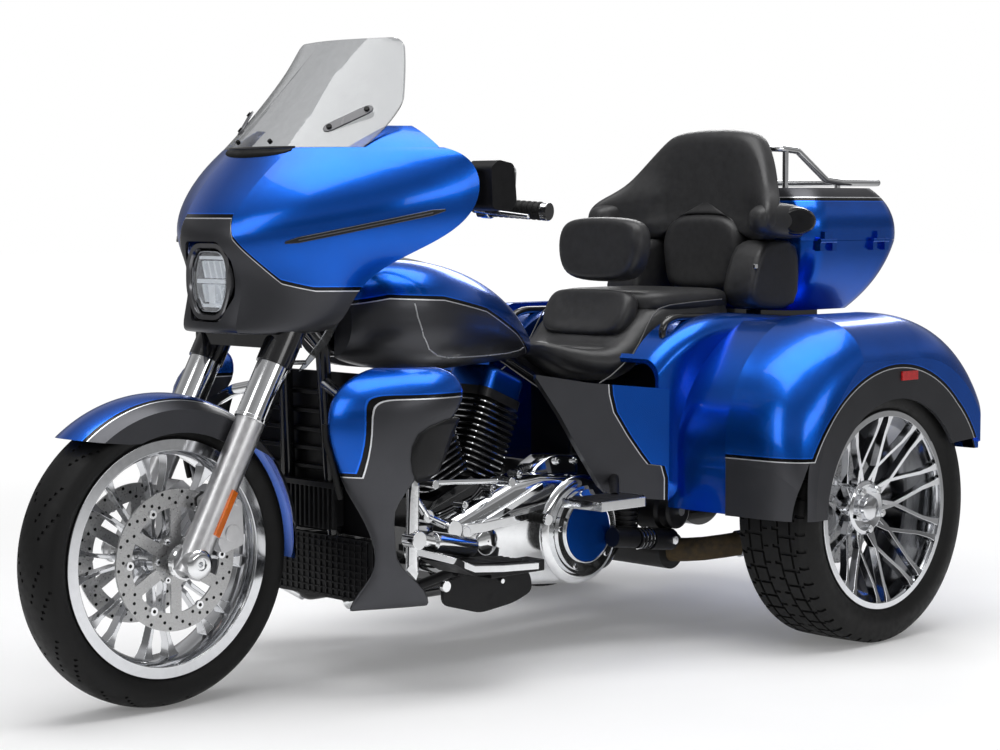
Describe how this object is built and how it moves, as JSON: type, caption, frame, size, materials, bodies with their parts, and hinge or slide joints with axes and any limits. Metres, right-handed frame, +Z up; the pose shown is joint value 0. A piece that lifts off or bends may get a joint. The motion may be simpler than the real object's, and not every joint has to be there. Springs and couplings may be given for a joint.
{
  "type": "motorized trike",
  "caption": "Touring trike with a steered front wheel under a fork-mounted fairing, V-twin engine, stepped saddle, hollow rear body with trunk door, and a hinged top box.",
  "frame": {"origin": "on the ground, at the middle of the length and of the width", "axes": "+X forward, +Y to the rider's left, +Z up"},
  "size_m": [2.6899, 1.404, 1.4269],
  "materials": {
    "paint_blue": "deep metallic blue clearcoat",
    "paint_charcoal": "charcoal metallic clearcoat",
    "tyre": "matt rubber",
    "polished_rim": "machined and polished",
    "disc_steel": "ground steel",
    "chrome": "mirror chrome",
    "satin_alloy": "satin",
    "black_metal": "gloss black",
    "fins": "black with bright fin edges",
    "exhaust_black": "satin black ceramic",
    "screen": "light smoke",
    "deflector": "smoke",
    "lamp": "clear lens over lamps",
    "red_lens": "red lens",
    "black_plastic": "fine grain",
    "leather": "soft grain"
  },
  "bodies": {
    "chassis": {"fuel_tank": "paint_blue", "rear_body": "paint_blue", "top_box": "paint_blue", "rocker_covers": "paint_blue", "derby_insert": "paint_blue", "leg_fairings": "paint_charcoal", "side_covers": "paint_charcoal", "primary_cover": "chrome", "derby_cover": "chrome", "engine_guard": "chrome", "tank_console": "chrome", "rear_calipers": "satin_alloy", "frame_tubes": "black_metal", "engine_block": "black_metal", "cam_cover": "black_metal", "air_cleaner": "black_metal", "rear_axle": "black_metal", "rear_suspension": "black_metal", "box_mounts": "black_metal", "grab_handles": "black_metal", "cylinders": "fins", "oil_cooler": "fins", "exhaust": "exhaust_black", "rear_lamps": "red_lens", "leg_boxes": "black_plastic", "lower_grille": "black_plastic", "speaker_pods": "black_plastic", "rider_footboards": "black_plastic", "passenger_footboards": "black_plastic", "saddle": "leather", "rider_backrest": "leather", "passenger_backrest": "leather", "map_pockets": "leather"},
    "front_wheel": {"front_tyre": "tyre", "front_rim": "polished_rim", "front_discs": "disc_steel"},
    "rear_wheel_left": {"rear_tyre_left": "tyre", "rear_rim_left": "polished_rim", "rear_disc_left": "disc_steel"},
    "rear_wheel_right": {"rear_tyre_right": "tyre", "rear_rim_right": "polished_rim", "rear_disc_right": "disc_steel"},
    "steering": {"front_axle": "chrome", "fork_legs": "satin_alloy", "fork_crowns": "black_metal", "front_fender": "paint_blue", "brake_calipers": "satin_alloy", "outer_fairing": "paint_blue", "headlamp": "lamp", "windshield": "screen", "inner_fairing": "black_plastic", "handlebar": "black_metal", "hand_levers": "black_metal", "mirrors": "black_plastic", "light_bars": "lamp", "wind_deflectors": "deflector"},
    "trunk_door": {"trunk_door": "paint_blue"},
    "box_lid": {"top_box_lid": "paint_blue", "luggage_rack": "chrome"}
  },
  "joints": [
    {"name": "steering", "type": "hinge", "parent": "chassis", "child": "steering", "pos_m": [0.70167, 0, 0.87], "axis": [-0.4384, 0, 0.8988], "range_deg": [-32, 32]},
    {"name": "front_wheel_spin", "type": "hinge", "parent": "steering", "child": "front_wheel", "pos_m": [1.026, 0, 0.319], "axis": [0, 1, 0], "continuous": true},
    {"name": "rear_wheel_left_spin", "type": "hinge", "parent": "chassis", "child": "rear_wheel_left", "pos_m": [-0.644, 0.566, 0.325], "axis": [0, 1, 0], "continuous": true},
    {"name": "rear_wheel_right_spin", "type": "hinge", "parent": "chassis", "child": "rear_wheel_right", "pos_m": [-0.644, -0.566, 0.325], "axis": [0, 1, 0], "continuous": true},
    {"name": "trunk_door_hinge", "type": "hinge", "parent": "chassis", "child": "trunk_door", "pos_m": [-1.182, 0, 0.69], "axis": [0, 1, 0], "range_deg": [0, 75]},
    {"name": "top_box_lid_hinge", "type": "hinge", "parent": "chassis", "child": "box_lid", "pos_m": [-1.02, 0.288, 0.968], "axis": [1, 0, 0], "range_deg": [-75, 0]}
  ]
}
